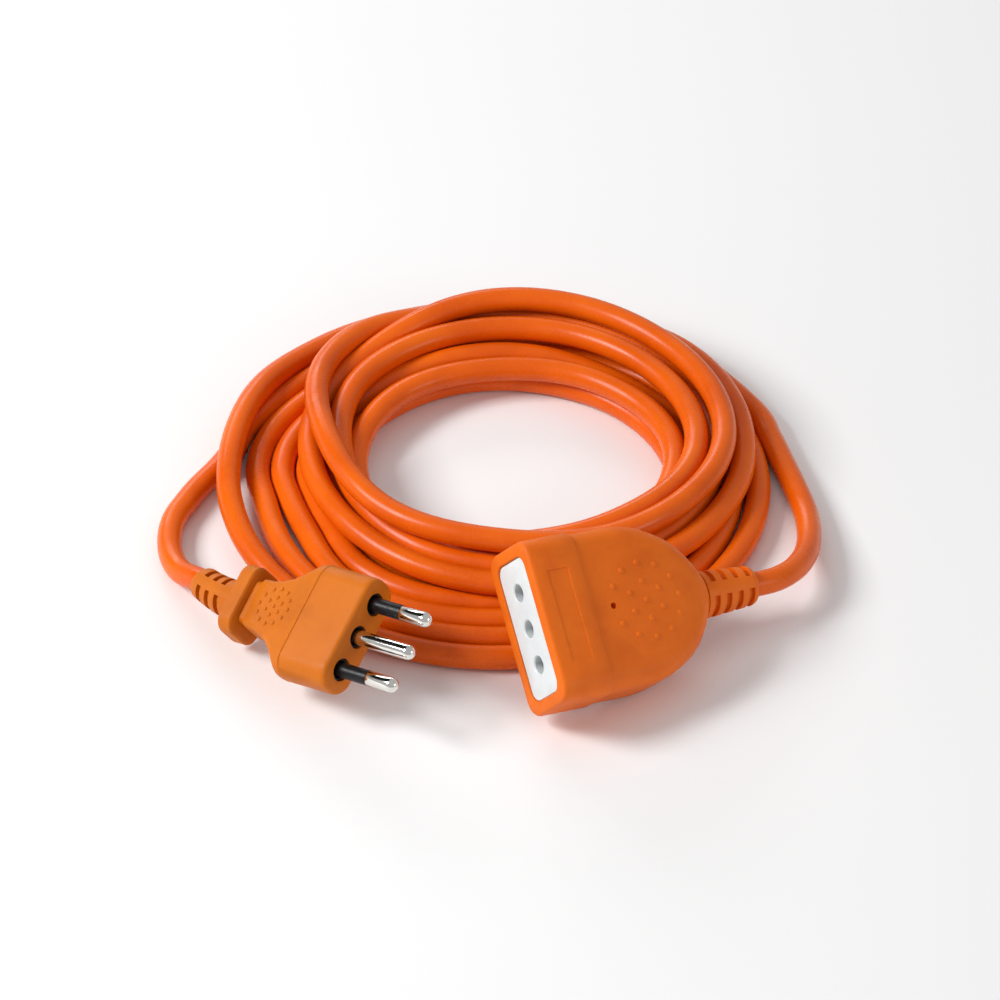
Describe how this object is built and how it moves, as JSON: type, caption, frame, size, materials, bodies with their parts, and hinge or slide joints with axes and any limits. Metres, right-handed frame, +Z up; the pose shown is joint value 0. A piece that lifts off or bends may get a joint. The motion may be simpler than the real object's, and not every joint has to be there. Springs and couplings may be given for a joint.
{
  "type": "extension cord",
  "caption": "Coiled orange extension lead with a flat moulded plug, round pins in a row, and a matching flat portable socket with a shuttered white face.",
  "frame": {"origin": "on the surface that the lead lies on, under the middle of its bounding box", "axes": "+Z up; +Y away from the side where the plug and the socket lie; +X to the right of it, towards the side where the cord runs into the socket"},
  "size_m": [0.1714, 0.1764, 0.0437],
  "materials": {
    "orange_plug_pvc": "satin, finely pebbled",
    "orange_socket_pvc": "satin, finely pebbled",
    "orange_cord_pvc": "soft gloss",
    "black_carrier": "satin",
    "black_sleeve": "satin",
    "nickel_plated_brass": "polished nickel plate",
    "white_insert": "satin",
    "grey_block": "satin",
    "grey_shutter": "satin",
    "spring_steel": "drawn wire",
    "contact_brass": "bright",
    "bare_copper": "bright drawn copper",
    "core_line": "brown insulation",
    "core_earth": "green and yellow insulation",
    "core_neutral": "blue insulation"
  },
  "bodies": {
    "lead": {"plug_body": "orange_plug_pvc", "plug_strain_relief": "orange_plug_pvc", "plug_pin_carrier": "black_carrier", "plug_pin_line": "nickel_plated_brass", "plug_core_line": "core_line", "connector_core_line": "core_line", "plug_strands_line": "bare_copper", "connector_strands_line": "bare_copper", "connector_contact_line": "contact_brass", "plug_pin_earth": "nickel_plated_brass", "plug_core_earth": "core_earth", "connector_core_earth": "core_earth", "plug_strands_earth": "bare_copper", "connector_strands_earth": "bare_copper", "connector_contact_earth": "contact_brass", "plug_pin_neutral": "nickel_plated_brass", "plug_core_neutral": "core_neutral", "connector_core_neutral": "core_neutral", "plug_strands_neutral": "bare_copper", "connector_strands_neutral": "bare_copper", "connector_contact_neutral": "contact_brass", "plug_sleeve_line": "black_sleeve", "plug_sleeve_neutral": "black_sleeve", "connector_body": "orange_socket_pvc", "connector_strain_relief": "orange_socket_pvc", "connector_face_insert": "white_insert", "connector_contact_block": "grey_block", "connector_shutter_spring": "spring_steel", "cord_coil": "orange_cord_pvc", "cord_plug_lead": "orange_cord_pvc", "cord_connector_lead": "orange_cord_pvc"},
    "shutter": {"connector_shutter": "grey_shutter"}
  },
  "joints": [
    {"name": "shutter_slide", "type": "slide", "parent": "lead", "child": "shutter", "axis": [-0.2686, 0.7318, 0.6264], "range_m": [0, 0.0047], "stiffness_N_per_m": 150, "springref_m": -0.002, "deforming": ["connector_shutter_spring"]}
  ]
}
